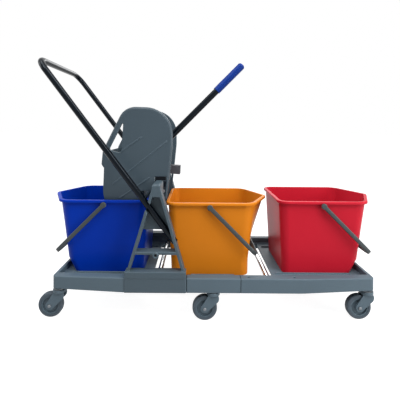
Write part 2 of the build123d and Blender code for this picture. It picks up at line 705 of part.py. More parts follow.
# height, flat end, nose corner, nose tip, half width, corner radii at the flat end, nose corner and tip
HEEL_HALF_WIDTH = FLOOR_HALF_WIDTH + 2.3
RIM_PLAN = (BUCKET_HEIGHT, 7, 279, 341, 128, 28, 40, 16)
END_PLANS = (
    (SEATED, 18.9, NOSE_ROOM - 29.5, NOSE_ROOM - 25.5, FLOOR_HALF_WIDTH, 22, 26, 60),
    (HEEL_HEIGHT, 17, NOSE_ROOM - 6.5, NOSE_ROOM + 2.5, HEEL_HALF_WIDTH, 23, 32, 50),
    RIM_PLAN,
)
# the middle bucket has no end wall to clear, so its heel stays full
MIDDLE_PLANS = (
    (SEATED, 18.9, MIDDLE_ROOM - 4.5, MIDDLE_ROOM + 1.5, FLOOR_HALF_WIDTH, 22, 24, 55),
    (HEEL_HEIGHT, 17, MIDDLE_ROOM - 4, MIDDLE_ROOM + 4, HEEL_HALF_WIDTH, 23, 30, 50),
    RIM_PLAN,
)
LIP_HALF = RIM_PLAN[4] + LIP_WIDTH


def bucket_plan(flat_x, flat, corner, tip, half, flat_r, corner_r, tip_r):
    """One level of the bucket: a rounded rectangle with a pointed pouring end."""
    with BuildLine() as outline:
        FilletPolyline(
            (flat_x + flat, -half),
            (flat_x + corner, -half),
            (flat_x + tip, 0),
            (flat_x + corner, half),
            (flat_x + flat, half),
            radius=(flat_r, corner_r, tip_r, corner_r, flat_r),
            close=True,
        )
    return outline.edges()


def bucket(flat_x, seat_z, plans):
    """Lofted shell with a rolled lip and two bosses for the bail."""
    pivots = [
        Plane((flat_x + BAIL_U, side * LIP_HALF, seat_z + BAIL_PIVOT_HEIGHT), z_dir=(0, -side, 0))
        for side in (-1, 1)
    ]
    with BuildPart() as shell:
        for height, *plan in plans:
            with BuildSketch(Plane.XY.offset(seat_z + height)):
                make_face(bucket_plan(flat_x, *plan))
        loft(ruled=True)
        with BuildSketch(Plane.XY.offset(seat_z + BUCKET_HEIGHT - LIP_HEIGHT)):
            make_face(bucket_plan(flat_x, *RIM_PLAN[1:]))
            offset(amount=LIP_WIDTH)
        extrude(amount=LIP_HEIGHT)
        lip_edges = shell.faces().sort_by(Axis.Z)[-1].outer_wire().edges()
        fillet(lip_edges, LIP_R)
        with Locations(*pivots):
            Cylinder(BAIL_BOSS_R, 2 * LIP_WIDTH, align=ON_BASE)
        for height, *plan in plans:
            raised = BUCKET_FLOOR if height == SEATED else 0
            with BuildSketch(Plane.XY.offset(seat_z + height + raised)):
                make_face(bucket_plan(flat_x, *plan))
                offset(amount=-BUCKET_WALL)
        loft(ruled=True, mode=Mode.SUBTRACT)
        with Locations(*pivots):
            Cylinder(BAIL_STUD_R + RUNNING, BAIL_STUD + SEATED, align=ON_BASE, mode=Mode.SUBTRACT)
    return shell.part


def bail(flat_x, seat_z, reach):
    """Flat strap bent to a U, with a thicker crossbar and a stud at each end."""
    inner_y = LIP_HALF + BAIL_GAP
    outer_y = inner_y + BAIL_THICKNESS
    drop = radians(-BAIL_REST)
    pivot_x = flat_x + BAIL_U
    pivot_z = seat_z + BAIL_PIVOT_HEIGHT
    strap = Plane(
        (pivot_x, 0, pivot_z),
        x_dir=(cos(drop), 0, sin(drop)),
        z_dir=(-sin(drop), 0, cos(drop)),
    )
    crossbar_reach = reach - BAIL_THICKNESS / 2
    crossbar = (pivot_x + crossbar_reach * cos(drop), pivot_z + crossbar_reach * sin(drop))
    with BuildPart() as bow:
        with BuildSketch(strap):
            with BuildLine():
                FilletPolyline(
                    (0, -outer_y),
                    (reach, -outer_y),
                    (reach, outer_y),
                    (0, outer_y),
                    radius=BAIL_BEND_R,
                )
                Line((0, outer_y), (0, inner_y))
                FilletPolyline(
                    (0, inner_y),
                    (reach - BAIL_THICKNESS, inner_y),
                    (reach - BAIL_THICKNESS, -inner_y),
                    (0, -inner_y),
                    radius=BAIL_BEND_R - BAIL_THICKNESS,
                )
                Line((0, -inner_y), (0, -outer_y))
            make_face()
        extrude(amount=BAIL_WIDTH / 2, both=True)
        sides = bow.faces().sort_by(Axis.Y)
        long_edges = (sides[0].edges() + sides[-1].edges()).sort_by(SortBy.LENGTH)[-4:]
        chamfer(long_edges, BAIL_CHAMFER)
        with BuildSketch(Plane.XZ):
            with Locations(crossbar):
                RectangleRounded(BAIL_GRIP[1], BAIL_GRIP[0], BAIL_GRIP_R, rotation=-BAIL_REST)
        extrude(amount=BAIL_GRIP_HALF, both=True)
        for side in (-1, 1):
            with Locations(Plane((pivot_x, side * inner_y, pivot_z), z_dir=(0, side, 0))):
                Cylinder(BAIL_BOSS_R, BAIL_THICKNESS, align=ON_BASE)
                Cylinder(BAIL_STUD_R, BAIL_STUD + BAIL_GAP, align=UNDER_TOP)
    return bow.part


save(mirror(bucket(BLUE_FLAT_X, END_SEAT_Z, END_PLANS), about=Plane.YZ), "bucket_blue")
save(mirror(bail(BLUE_FLAT_X, END_SEAT_Z, BAIL_REACH), about=Plane.YZ), "bail_blue")
save(bucket(ORANGE_FLAT_X, SEAT_Z, MIDDLE_PLANS), "bucket_orange")
save(bail(ORANGE_FLAT_X, SEAT_Z, MIDDLE_BAIL_REACH), "bail_orange")
save(bucket(RED_FLAT_X, END_SEAT_Z, END_PLANS), "bucket_red")
save(bail(RED_FLAT_X, END_SEAT_Z, BAIL_REACH), "bail_red")

# Wringer shields

TIE_POINTS = [
    (PIVOT_X + TIE_REACH * cos(radians(angle)), PIVOT_Z + TIE_REACH * sin(radians(angle)))
    for angle in TIE_ANGLES
]
PANEL_UNIT = 100  # the outline, carry slot and ribs are drawn in this unit from the shaft's axis


def on_panel(across, up):
    """X and Z of a point of the shield's drawing."""
    return PIVOT_X + across * PANEL_UNIT, PIVOT_Z + up * PANEL_UNIT


# corner points and their radii, anticlockwise from the foot inside the bucket
PANEL_FRONT_X = on_panel(-0.03, 0)[0]
PANEL_BACK_X = on_panel(-1.29, 0)[0]
NOTCH_LEG_Z = NOTCH_TOP_Z - 47
NOTCH_FOOT_Z = NOTCH_TOP_Z - 73
PANEL_CORNERS = (
    ((PANEL_FRONT_X, PANEL_FOOT_Z), 6),
    ((PANEL_FRONT_X, NOTCH_LEG_Z), 5),
    ((NOTCH_X[0], NOTCH_LEG_Z), 4),
    ((NOTCH_X[0], NOTCH_TOP_Z), 3),
    ((NOTCH_X[1], NOTCH_TOP_Z), 3),
    ((NOTCH_X[1] - 6, NOTCH_FOOT_Z), 0),
    ((NOTCH_X[1] + 1, NOTCH_FOOT_Z), 0),
    (on_panel(0.99, 0.54), 150),
    (on_panel(0.98, 1.83), 90),
    (on_panel(-0.59, 1.87), 58),
    (on_panel(-1.3, 0.42), 25),
    (on_panel(-1.34, -0.01), 0),
    (on_panel(-1.24, -0.14), 0),
    ((PANEL_BACK_X, PANEL_FOOT_Z), 90),
)
GRIP_SLOT = (on_panel(-0.62, 1.4), on_panel(-0.67, 0.34), on_panel(-1.09, 0.45))
GRIP_SLOT_R = (2.5, 6, 6)
# start and end of the raised ribs
PANEL_RIBS = (
    (on_panel(-0.71, 0.38), on_panel(-0.03, 0.87)),
    (on_panel(-0.94, -0.66), on_panel(0.8, 0.74)),
    (on_panel(-0.71, -1.12), on_panel(0.23, -0.46)),
)

PANEL_SHOULDER_Z = on_panel(-1.34, -0.01)[1]


def is_rounded(edge):
    """Whether an outer edge of the shield is rounded: those above the shoulder and past the notch are."""
    middle = edge.center()
    past_notch = middle.X > NOTCH_X[1] + 2
    in_notch = middle.X > NOTCH_X[0] - 1 and middle.Z < NOTCH_TOP_Z + 1
    return past_notch or (middle.Z > PANEL_SHOULDER_Z and not in_notch)


with BuildPart() as wringer_panel_near:
    with BuildSketch(upright(-PANEL_INNER_Y)):
        with BuildLine():
            FilletPolyline(
                *[point for point, radius in PANEL_CORNERS],
                radius=[radius for point, radius in PANEL_CORNERS],
                close=True,
            )
        make_face()
    extrude(amount=PANEL_THICKNESS)
    outer_edges = wringer_panel_near.faces().sort_by(Axis.Y)[0].edges()
    fillet(outer_edges.filter_by(is_rounded), PANEL_EDGE_R)
    with BuildSketch(upright(-PANEL_INNER_Y + REACH)):
        with BuildLine():
            FilletPolyline(*GRIP_SLOT, radius=list(GRIP_SLOT_R), close=True)
        make_face()
    extrude(amount=PANEL_THICKNESS + 2 * REACH, mode=Mode.SUBTRACT)
    with BuildSketch(upright(-PANEL_OUTER_Y)):
        for start, end in PANEL_RIBS:
            run = Vector(*end) - Vector(*start)
            with Locations((Vector(*start) + Vector(*end)) * 0.5):
                SlotCenterToCenter(run.length, RIB_WIDTH, rotation=degrees(atan2(run.Y, run.X)))
    extrude(amount=RIB_HEIGHT)
    with Locations(Plane((PIVOT_X, -PANEL_INNER_Y, PIVOT_Z), z_dir=(0, 1, 0))):
        Cylinder(SHAFT_BOSS_R, SHAFT_BOSS, align=ON_BASE)
        with Locations((0, 0, -SHAFT_SINK)):
            Cylinder(
                SHAFT_R + SNUG,
                SHAFT_SINK + SHAFT_BOSS + REACH,
                align=ON_BASE,
                mode=Mode.SUBTRACT,
            )
    for tie_x, tie_z in TIE_POINTS:
        with Locations(Plane((tie_x, -PANEL_INNER_Y, tie_z), z_dir=(0, 1, 0))):
            Cylinder(TIE_R + SNUG, 4 * PANEL_THICKNESS, mode=Mode.SUBTRACT)
save(wringer_panel_near.part, "wringer_panel_near")

with BuildPart() as wringer_panel_far:
    mirror(wringer_panel_near.part, about=Plane.XZ)
save(wringer_panel_far.part, "wringer_panel_far")

# Wringer inner pieces

INNER_HALF = PANEL_INNER_Y - SEATED

with BuildPart() as drain_basket:
    outer_r = BASKET_R + BASKET_WALL
    wall_back = BASKET_WALL_X - BASKET_WALL
    wall_foot_z = PIVOT_Z - sqrt(outer_r**2 - (PIVOT_X - wall_back) ** 2)
    with BuildSketch(Plane.XZ):
        with Locations((PIVOT_X, PIVOT_Z)):
            Circle(outer_r)
            Circle(BASKET_R, mode=Mode.SUBTRACT)
        with Locations((wall_back, wall_foot_z)):
            Rectangle(
                BASKET_END_X - wall_back,
                2 * BASKET_R,
                align=(Align.MIN, Align.MAX),
                mode=Mode.INTERSECT,
            )
            Rectangle(BASKET_WALL, BASKET_TOP_Z - wall_foot_z, align=(Align.MIN, Align.MIN))
    extrude(amount=INNER_HALF, both=True)
    with Locations(Plane((BASKET_WALL_X, 0, WALL_SLOT_Z), x_dir=(0, 1, 0), z_dir=(1, 0, 0))):
        with GridLocations(DRAIN_PITCH, WALL_SLOT_PITCH, DRAIN_COLUMNS, 2):
            Box(DRAIN_SLOT, WALL_SLOT, 4 * BASKET_WALL, mode=Mode.SUBTRACT)
    for angle in FLOOR_SLOT_ANGLES:
        direction = (cos(radians(angle)), 0, sin(radians(angle)))
        foot = (PIVOT_X + BASKET_R * direction[0], 0, PIVOT_Z + BASKET_R * direction[2])
        with Locations(Plane(foot, x_dir=(0, 1, 0), z_dir=direction)):
            with GridLocations(DRAIN_PITCH, 1, DRAIN_COLUMNS, 1):
                Box(DRAIN_SLOT, FLOOR_SLOT, 4 * BASKET_WALL, mode=Mode.SUBTRACT)
save(drain_basket.part, "drain_basket")

with BuildPart() as stop_beam:
    beam_x = (BEAM_X[0] + BEAM_X[1]) / 2
    with Locations((beam_x, 0, BEAM_Z[0])):
        Box(BEAM_X[1] - BEAM_X[0], 2 * INNER_HALF, BEAM_Z[1] - BEAM_Z[0], align=ON_BASE)
    lug_top_z = PIVOT_Z + SPRING_R - SPRING_WIRE_R - SEATED
    for side in (-1, 1):
        with Locations((beam_x, side * sum(SPRING_LUG_Y) / 2, BEAM_Z[0])):
            Box(
                BEAM_X[1] - BEAM_X[0],
                SPRING_LUG_Y[1] - SPRING_LUG_Y[0],
                lug_top_z - BEAM_Z[0],
                align=ON_BASE,
            )
save(stop_beam.part, "stop_beam")

with BuildPart() as lever_stop:
    stop_x = BEAM_X[1] + SEATED
    with BuildSketch(Plane.XZ):
        with BuildLine():
            FilletPolyline(
                (stop_x, BEAM_Z[0] - 4),
                (stop_x, BEAM_Z[1]),
                (stop_x + 6, BEAM_Z[1] + 5),
                (stop_x + STOP_LENGTH, BEAM_Z[1] + 3.5),
                (stop_x + STOP_LENGTH - 1, BEAM_Z[0] - 9.5),
                (stop_x + 6, BEAM_Z[0] - 7),
                radius=STOP_EDGE_R,
                close=True,
            )
        make_face()
    extrude(amount=STOP_HALF_WIDTH, both=True)
save(lever_stop.part, "lever_stop")

with BuildPart() as hanger_pads:
    pad_length = NOTCH_X[1] - NOTCH_X[0] - 2 * PAD_INSET
    for side in (-1, 1):
        with Locations((sum(NOTCH_X) / 2, side * (PANEL_OUTER_Y + PANEL_INNER_Y) / 2, NOTCH_TOP_Z - SEATED)):
            Box(
                pad_length,
                PANEL_THICKNESS,
                PAD_HEIGHT,
                align=UNDER_TOP,
            )
save(hanger_pads.part, "hanger_pads")

with BuildPart() as tie_rods:
    for tie_x, tie_z in TIE_POINTS:
        with Locations(Plane((tie_x, 0, tie_z), z_dir=(0, 1, 0))):
            Cylinder(TIE_R, 2 * (PANEL_OUTER_Y + TIE_NUT + REACH))
save(tie_rods.part, "tie_rods")

with BuildPart() as tie_nuts:
    for tie_x, tie_z in TIE_POINTS:
        for side in (-1, 1):
            with BuildSketch(Plane((tie_x, side * PANEL_OUTER_Y, tie_z), z_dir=(0, side, 0))):
                RegularPolygon(TIE_NUT_R, 6)
                Circle(TIE_R + SNUG, mode=Mode.SUBTRACT)
    extrude(amount=TIE_NUT)
save(tie_nuts.part, "tie_nuts")

with BuildPart() as press_shaft:
    with Locations(Plane((PIVOT_X, 0, PIVOT_Z), z_dir=(0, 1, 0))):
        Cylinder(SHAFT_R, 2 * (PANEL_INNER_Y + SHAFT_SINK - SEATED))
save(press_shaft.part, "press_shaft")

# Lever and press plate

lever_direction = (cos(radians(LEVER_ANGLE)), 0, sin(radians(LEVER_ANGLE)))
lever_base = Plane((PIVOT_X, 0, PIVOT_Z), x_dir=(0, 1, 0), z_dir=lever_direction)


def along_lever(distance):
    """The plane across the lever at a distance from its pivot."""
    return lever_base.offset(distance)


with BuildPart() as press_plate:
    with Locations(Plane((PIVOT_X, 0, PIVOT_Z), z_dir=(0, 1, 0))):
        Cylinder(PRESS_HUB_R, HUB_LENGTH)
    with Locations((PIVOT_X, 0, PIVOT_Z - PRESS_REACH)):
        Box(
            PRESS_THICKNESS,
            2 * PRESS_HALF_WIDTH,
            PRESS_REACH - PRESS_TOP_GAP,
            align=ON_BASE,
        )
        Box(PRESS_THICKNESS, HUB_LENGTH, PRESS_REACH, align=ON_BASE)
    with BuildSketch(lever_base):
        Circle(SOCKET_R)
    extrude(amount=SOCKET_END)
    bar_middle = sum(SPRING_BAR) / 2
    bar_depth = SPRING_R - SPRING_WIRE_R - SEATED
    with Locations(along_lever(bar_middle)):
        with Locations((0, SPRING_BAR_DEPTH / 2 - bar_depth, 0)):
            Box(2 * SPRING_BAR_HALF, SPRING_BAR_DEPTH, SPRING_BAR[1] - SPRING_BAR[0])
    with BuildSketch(along_lever(LEVER_START - SEATED)):
        Circle(LEVER_R + SNUG)
    extrude(amount=SOCKET_END, mode=Mode.SUBTRACT)
    with Locations(Plane((PIVOT_X, 0, PIVOT_Z), z_dir=(0, 1, 0))):
        Cylinder(SHAFT_R + RUNNING, 2 * PANEL_INNER_Y, mode=Mode.SUBTRACT)
    with Locations(along_lever(LEVER_BOLT_AT)):
        with Locations(Plane.YZ):
            Cylinder(HANDLE_BOLT_R + SNUG, 4 * SOCKET_R, mode=Mode.SUBTRACT)
    with Locations(Plane((PIVOT_X, 0, PIVOT_Z - PRESS_SLOT_DROP), x_dir=(0, 1, 0), z_dir=(1, 0, 0))):
        with GridLocations(DRAIN_PITCH, PRESS_SLOT_PITCH, DRAIN_COLUMNS, 2):
            Box(DRAIN_SLOT, PRESS_SLOT, 4 * PRESS_THICKNESS, mode=Mode.SUBTRACT)
save(press_plate.part, "press_plate")

with BuildPart() as lever_tube:
    with BuildSketch(along_lever(LEVER_START)):
        Circle(LEVER_R)
        Circle(LEVER_R - LEVER_WALL, mode=Mode.SUBTRACT)
    extrude(amount=LEVER_END - LEVER_START)
    with Locations(along_lever(LEVER_BOLT_AT)):
        with Locations(Plane.YZ):
            Cylinder(HANDLE_BOLT_R + SNUG, 4 * SOCKET_R, mode=Mode.SUBTRACT)
save(lever_tube.part, "lever_tube")

with BuildPart() as lever_grip:
    with BuildSketch(along_lever(GRIP_START)):
        Circle(GRIP_R)
    extrude(amount=GRIP_END - GRIP_START)
    end_edges = lever_grip.edges().filter_by(GeomType.CIRCLE).sort_by(Axis.Z)
    fillet(end_edges[-1], GRIP_END_R)
    fillet(end_edges[0], 1)
    with BuildSketch(along_lever(GRIP_START - REACH)):
        Circle(LEVER_R + SNUG)
    extrude(amount=LEVER_END + SEATED - GRIP_START + REACH, mode=Mode.SUBTRACT)
save(lever_grip.part, "lever_grip")

with BuildPart() as lever_bolt:
    with Locations(along_lever(LEVER_BOLT_AT)):
        with Locations(Plane.YZ):
            Cylinder(HANDLE_BOLT_R, 2 * SOCKET_R)
            head_middle = SOCKET_R + LEVER_BOLT_HEAD / 2
            with Locations((0, 0, -head_middle), (0, 0, head_middle)):
                Cylinder(BOLT_HEAD_R - 1, LEVER_BOLT_HEAD)
save(lever_bolt.part, "lever_bolt")

# Return springs: each is one wire, from a level leg over the beam, round the shaft, to a leg under the lever


def coil_point(angle, side):
    """Point and unit tangent of a coil at an angle; it winds in toward the hub as the angle grows."""
    turn = radians(angle)
    wound = (angle - COIL_START) / 360
    y = side * (COIL_OUTER_Y - SPRING_PITCH * wound)
    point = Vector(PIVOT_X + SPRING_R * cos(turn), y, PIVOT_Z + SPRING_R * sin(turn))
    advance = -side * degrees(SPRING_PITCH / 360)
    return point, Vector(-SPRING_R * sin(turn), advance, SPRING_R * cos(turn)).normalized()


def biarc_joint(start, start_tangent, end, end_tangent):
    """Where two arcs meet that join both ends smoothly."""
    chord = end - start
    total = start_tangent + end_tangent
    spread = 2 * (1 - start_tangent.dot(end_tangent))
    along = chord.dot(total)
    reach = (sqrt(along**2 + spread * chord.dot(chord)) - along) / spread
    return (start + end + (start_tangent - end_tangent) * reach) * 0.5


def spring_least_gap(side):
    """Smallest clear distance between one turn of the wire and the next, measured on points."""
    angles = range(COIL_START, int(COIL_END), 5)
    points = [coil_point(angle, side)[0] for angle in angles]
    half_turn = 36
    apart = [
        (points[first] - points[second]).length
        for first in range(len(points))
        for second in range(first + half_turn, len(points))
    ]
    return min(apart) - 2 * SPRING_WIRE_R


with BuildPart() as return_springs:
    for side in (-1, 1):
        steps = 4 * SPRING_TURNS + 2
        angles = [COIL_START + (COIL_END - COIL_START) * step / steps for step in range(steps + 1)]
        start, start_tangent = coil_point(COIL_START, side)
        leg_tip = start - start_tangent * SPRING_FIXED_LEG
        with BuildLine() as wire:
            Line(leg_tip, start)
            for angle in angles[1:]:
                end, end_tangent = coil_point(angle, side)
                joint = biarc_joint(start, start_tangent, end, end_tangent)
                first_half = TangentArc(start, joint, tangent=start_tangent)
                TangentArc(joint, end, tangent=first_half % 1)
                start, start_tangent = end, end_tangent
            Line(end, end + end_tangent * SPRING_MOVING_LEG)
        with BuildSketch(Plane(leg_tip, z_dir=wire.line % 0)):
            Circle(SPRING_WIRE_R)
        sweep(path=wire.line)
save(return_springs.part, "return_springs")
print("spring least gap to itself:", round(min(spring_least_gap(-1), spring_least_gap(1)), 3))
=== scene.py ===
"""Looks for a triple mop bucket trolley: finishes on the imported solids, axle heads, light and camera."""

import math

import bpy
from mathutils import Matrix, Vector


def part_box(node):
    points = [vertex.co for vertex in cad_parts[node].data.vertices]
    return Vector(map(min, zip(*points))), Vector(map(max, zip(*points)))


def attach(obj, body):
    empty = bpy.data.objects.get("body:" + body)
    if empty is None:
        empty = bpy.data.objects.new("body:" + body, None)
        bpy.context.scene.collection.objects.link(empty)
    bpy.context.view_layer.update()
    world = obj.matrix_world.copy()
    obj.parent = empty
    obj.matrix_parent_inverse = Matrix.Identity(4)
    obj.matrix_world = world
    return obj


bl_info = {
    "name": "Mop Bucket Trolley",
    "version": (1, 0, 0),
    "blender": (4, 5, 0),
    "location": "View3D > Sidebar > Trolley",
    "description": "Dresses the packed trolley with moulded plastic, coated tube, steel and rubber",
    "category": "Object",
}

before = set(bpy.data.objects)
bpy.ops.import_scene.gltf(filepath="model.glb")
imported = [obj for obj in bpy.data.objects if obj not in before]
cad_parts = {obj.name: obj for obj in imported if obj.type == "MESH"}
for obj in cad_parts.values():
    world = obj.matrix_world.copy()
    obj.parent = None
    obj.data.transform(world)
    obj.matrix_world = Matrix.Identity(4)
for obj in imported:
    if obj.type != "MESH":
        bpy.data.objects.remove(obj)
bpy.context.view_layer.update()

CORNERS = ("near_left", "near_middle", "near_right", "far_left", "far_middle", "far_right")
PAILS = ("blue", "orange", "red")
BASE_PIECES = ("base_left", "base_centre", "base_right")
STAND_PIECES = ("stand_near", "stand_far")
SHIELDS = ("wringer_panel_near", "wringer_panel_far")
STEEL_PIECES = ("frame_bolts", "stand_bolts", "handle_bolts", "tie_rods", "tie_nuts")

BEVEL_SAMPLES = 6
EDGE_FADE = 0.08  # bend at which an edge's painted highlight starts to show, as a share of the sharpest one
# Half width of the painted shade line in each seam
SEAM_HALF_WIDTH = 0.001
MIX_FACTOR, MIX_FIRST, MIX_SECOND, MIX_RESULT = 0, 6, 7, 2  # a Mix node's sockets for colours
ZINC = (0.56, 0.57, 0.58)
BRIGHT_STEEL = (0.8, 0.81, 0.82)
SHAFT_STEEL = (0.6, 0.61, 0.62)
DARK_STEEL = (0.17, 0.185, 0.2)
HUB_TONE = 0.95  # hubs against the base's grey
HEAD_INSET = 0.2  # share of a domed head's rise that sinks into the axle's end
SKY_LIGHT = 0.28
FLOOR_REACH = 30
FLOOR_GLOW = 0.92
FLOOR_TONE_SEEN = (0.36, 0.36, 0.36, 1)
FLOOR_TONE = (0.4, 0.4, 0.4, 1)
WHITE = (1, 1, 1, 1)
COOL_WHITE = (0.97, 0.98, 1, 1)
LAMP_AIM = (0, 0, 0.3)
SENSOR_WIDTH = 36
# Each lamp's name, the power setting it follows and by what factor, its place, and its width and height
LAMPS = (
    ("key", "key", 1.1, (1.0, -1.0, 2.1), (0.45, 1.6)),
    ("front", "key", 0.4, (-0.6, -1.5, 2.2), (0.6, 0.6)),
    ("top", "key", 1.5, (-0.4, -0.8, 2.5), (2.4, 1.2)),
    ("right", "fill", 2.7, (2.4, -0.9, 0.9), (1.2, 1.6)),
    ("low_right", "fill", 1.5, (1.7, -1.5, 0.6), (0.8, 1.0)),
    ("left", "fill", 1.5, (-2.4, -0.4, 1.3), (1.2, 1.4)),
    ("back", "key", 0.9, (0.5, 2.4, 1.7), (1.8, 1.2)),
)


def box_middle(node):
    """Middle of a solid's box, in metres."""
    low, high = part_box(node)
    return (Vector(low) + Vector(high)) / 2


# Shader expressions


class Socket:
    """One output of a material's nodes. Arithmetic on it adds Math nodes to the same tree."""

    def __init__(self, finish, link):
        self.finish = finish
        self.link = link

    def math(self, operation, first, second):
        return self.finish.node("ShaderNodeMath", {"operation": operation}, {0: first, 1: second})

    def __add__(self, other):
        return self.math("ADD", self, other)

    def __radd__(self, other):
        return self.math("ADD", other, self)

    def __sub__(self, other):
        return self.math("SUBTRACT", self, other)

    def __rsub__(self, other):
        return self.math("SUBTRACT", other, self)

    def __mul__(self, other):
        return self.math("MULTIPLY", self, other)

    def __rmul__(self, other):
        return self.math("MULTIPLY", other, self)

    def __abs__(self):
        return self.math("ABSOLUTE", self, 0)


class Finish:
    """One surface finish, or the sky: its shader, and the nodes that its expressions add."""

    def __init__(self, owner):
        self.owner = owner
        self.owner.use_nodes = True
        self.tree = self.owner.node_tree
        self.tree.nodes.clear()

    def node(self, kind, settings=None, sockets=None, output=0):
        """Add a node, set it up, fill its sockets with numbers or links, and return an output, if any."""
        made = self.tree.nodes.new(kind)
        for key, value in (settings or {}).items():
            if key == "stops":
                self.set_stops(made.color_ramp, value)
            else:
                setattr(made, key, value)
        for key, value in (sockets or {}).items():
            if isinstance(value, Socket):
                self.tree.links.new(value.link, made.inputs[key])
            else:
                made.inputs[key].default_value = value
        return Socket(self, made.outputs[output]) if made.outputs else None

    def set_stops(self, ramp, stops):
        """Give a colour ramp its stops, as (place, grey level)."""
        while len(ramp.elements) < len(stops):
            ramp.elements.new(1)
        for element, (place, grey) in zip(ramp.elements, stops):
            element.position = place
            element.color = (grey, grey, grey, 1)

    def place(self, stretch=(1, 1, 1), turn=(0, 0, 0)):
        """Object coordinates, stretched and turned."""
        coordinates = self.node("ShaderNodeTexCoord", output="Object")
        sockets = {"Vector": coordinates, "Scale": stretch, "Rotation": turn}
        return self.node("ShaderNodeMapping", None, sockets)

    def noise(self, scale, detail, stretch=(1, 1, 1), turn=(0, 0, 0)):
        """Cloudy pattern from 0 to 1, with scale features to the metre."""
        sockets = {"Vector": self.place(stretch, turn), "Scale": scale, "Detail": detail}
        return self.node("ShaderNodeTexNoise", None, sockets)

    def ramp(self, value, *stops):
        """A value reshaped by a ramp of grey stops."""
        return self.node("ShaderNodeValToRGB", {"stops": stops}, {0: value})

    def blend(self, factor, first, second):
        """Two colours mixed by a value."""
        sockets = {MIX_FACTOR: factor, MIX_FIRST: first, MIX_SECOND: second}
        return self.node("ShaderNodeMix", {"data_type": "RGBA"}, sockets, output=MIX_RESULT)

    def rounded(self, radius):
        """Normals that turn softly over the edges."""
        return self.node("ShaderNodeBevel", {"samples": BEVEL_SAMPLES}, {"Radius": radius})

    def edges(self, normal, sharpest=0.25):
        """High where the rounded normal leaves the face's own, fully so at the sharpest bend."""
        facing = self.node("ShaderNodeNewGeometry", output="Normal")
        settings = {"operation": "DOT_PRODUCT"}
        along = self.node("ShaderNodeVectorMath", settings, {0: normal, 1: facing}, output="Value")
        return self.ramp(1 - along, (EDGE_FADE * sharpest, 0), (sharpest, 1))

    def seams(self, distance):
        """High in the two seams across the trolley, each at a distance from its middle: where the painted
        shade goes.
        """
        across = self.node("ShaderNodeSeparateXYZ", None, {"Vector": self.place()}, output="X")
        off_seam = abs(abs(across) - distance)
        return self.ramp(off_seam * (0.5 / SEAM_HALF_WIDTH), (0.3, 1), (0.7, 0))

    def bump(self, height, normal, distance, strength):
        """A fine relief on top of a normal."""
        sockets = {"Strength": strength, "Distance": distance, "Height": height, "Normal": normal}
        return self.node("ShaderNodeBump", None, sockets)

    def surface(self, sockets):
        """Close the material with its shader and hand it over."""
        return self.close(self.node("ShaderNodeBsdfPrincipled", None, sockets))

    def in_view(self):
        """High for rays that show the background: the camera's, and those off gloss or through glass."""
        camera = self.node("ShaderNodeLightPath", output="Is Camera Ray")
        gloss = self.node("ShaderNodeLightPath", output="Is Glossy Ray")
        glass = self.node("ShaderNodeLightPath", output="Is Transmission Ray")
        return camera.math("MAXIMUM", camera, gloss.math("MAXIMUM", gloss, glass))

    def close(self, shader, end="ShaderNodeOutputMaterial"):
        """Send a shader to the output and hand over what it belongs to."""
        self.node(end, None, {"Surface": shader})
        return self.owner


def tone(colour, gain):
    """A colour made lighter or darker, with alpha."""
    return (colour[0] * gain, colour[1] * gain, colour[2] * gain, 1)


def grained_moulding(name, colour, roughness, grain, edge, sharpest=0.25, seam=None):
    """Textured grey plastic: fine grain, cloudy tone, edges painted paler as a highlight and more so where
    rubbed, and painted shade in any seams.
    """
    skin = Finish(bpy.data.materials.new(name))
    normal = skin.rounded(edge)
    edge_highlight_and_wear = skin.edges(normal, sharpest)
    cloud = skin.noise(scale=7, detail=4)
    pores = skin.noise(grain, detail=3)
    scuff = skin.ramp(skin.noise(scale=60, detail=5, stretch=(1, 1, 4)), (0.58, 0), (0.72, 1))
    base = skin.blend(cloud, tone(colour, 0.86), tone(colour, 1.14))
    base = skin.blend(pores * 0.16, base, tone(colour, 1.7))
    # Painted highlight: every edge is made paler, more where scuffs add real wear.
    base = skin.blend((0.4 + 0.4 * scuff) * edge_highlight_and_wear, base, tone(colour, 2.6))
    if seam:
        # Painted shade: the seams are darkened to stand in for the shadow in the joints.
        base = skin.blend(skin.seams(seam), base, tone(colour, 0.1))
    return skin.surface(
        {
            "Base Color": base,
            "Roughness": roughness + 0.18 * (pores - 0.5) + 0.1 * scuff,
            "Specular IOR Level": 0.22,
            "Normal": skin.bump(pores, normal, distance=0.0004, strength=0.22),
        }
    )


def glossy_pail(name, colour):
    """Smooth coloured polypropylene: faint flow clouds, orange-peel gloss, hairline rubs, and a lip and
    edges painted paler as a highlight.
    """
    skin = Finish(bpy.data.materials.new(name))
    normal = skin.rounded(0.0012)
    lip_highlight = skin.edges(normal)
    flow = skin.noise(scale=5, detail=3, stretch=(1, 1, 0.35))
    peel = skin.noise(scale=260, detail=2)
    streak = skin.noise(scale=90, detail=6, stretch=(3, 3, 0.3), turn=(0.5, 0.2, 0.1))
    hair = skin.ramp(streak, (0.6, 0), (0.74, 1))
    base = skin.blend(flow, tone(colour, 0.9), tone(colour, 1.1))
    pale = tuple(1.55 * value + 0.005 for value in colour) + (1,)
    # Hairline rubs are wear; the paler lip and edges are a painted highlight.
    base = skin.blend(hair * 0.06 + lip_highlight * 0.6, base, pale)
    return skin.surface(
        {
            "Base Color": base,
            "Roughness": 0.36 + 0.1 * (flow - 0.5) + 0.12 * hair,
            "Specular IOR Level": 0.07,
            "Normal": skin.bump(peel, normal, distance=0.0006, strength=0.04),
        }
    )


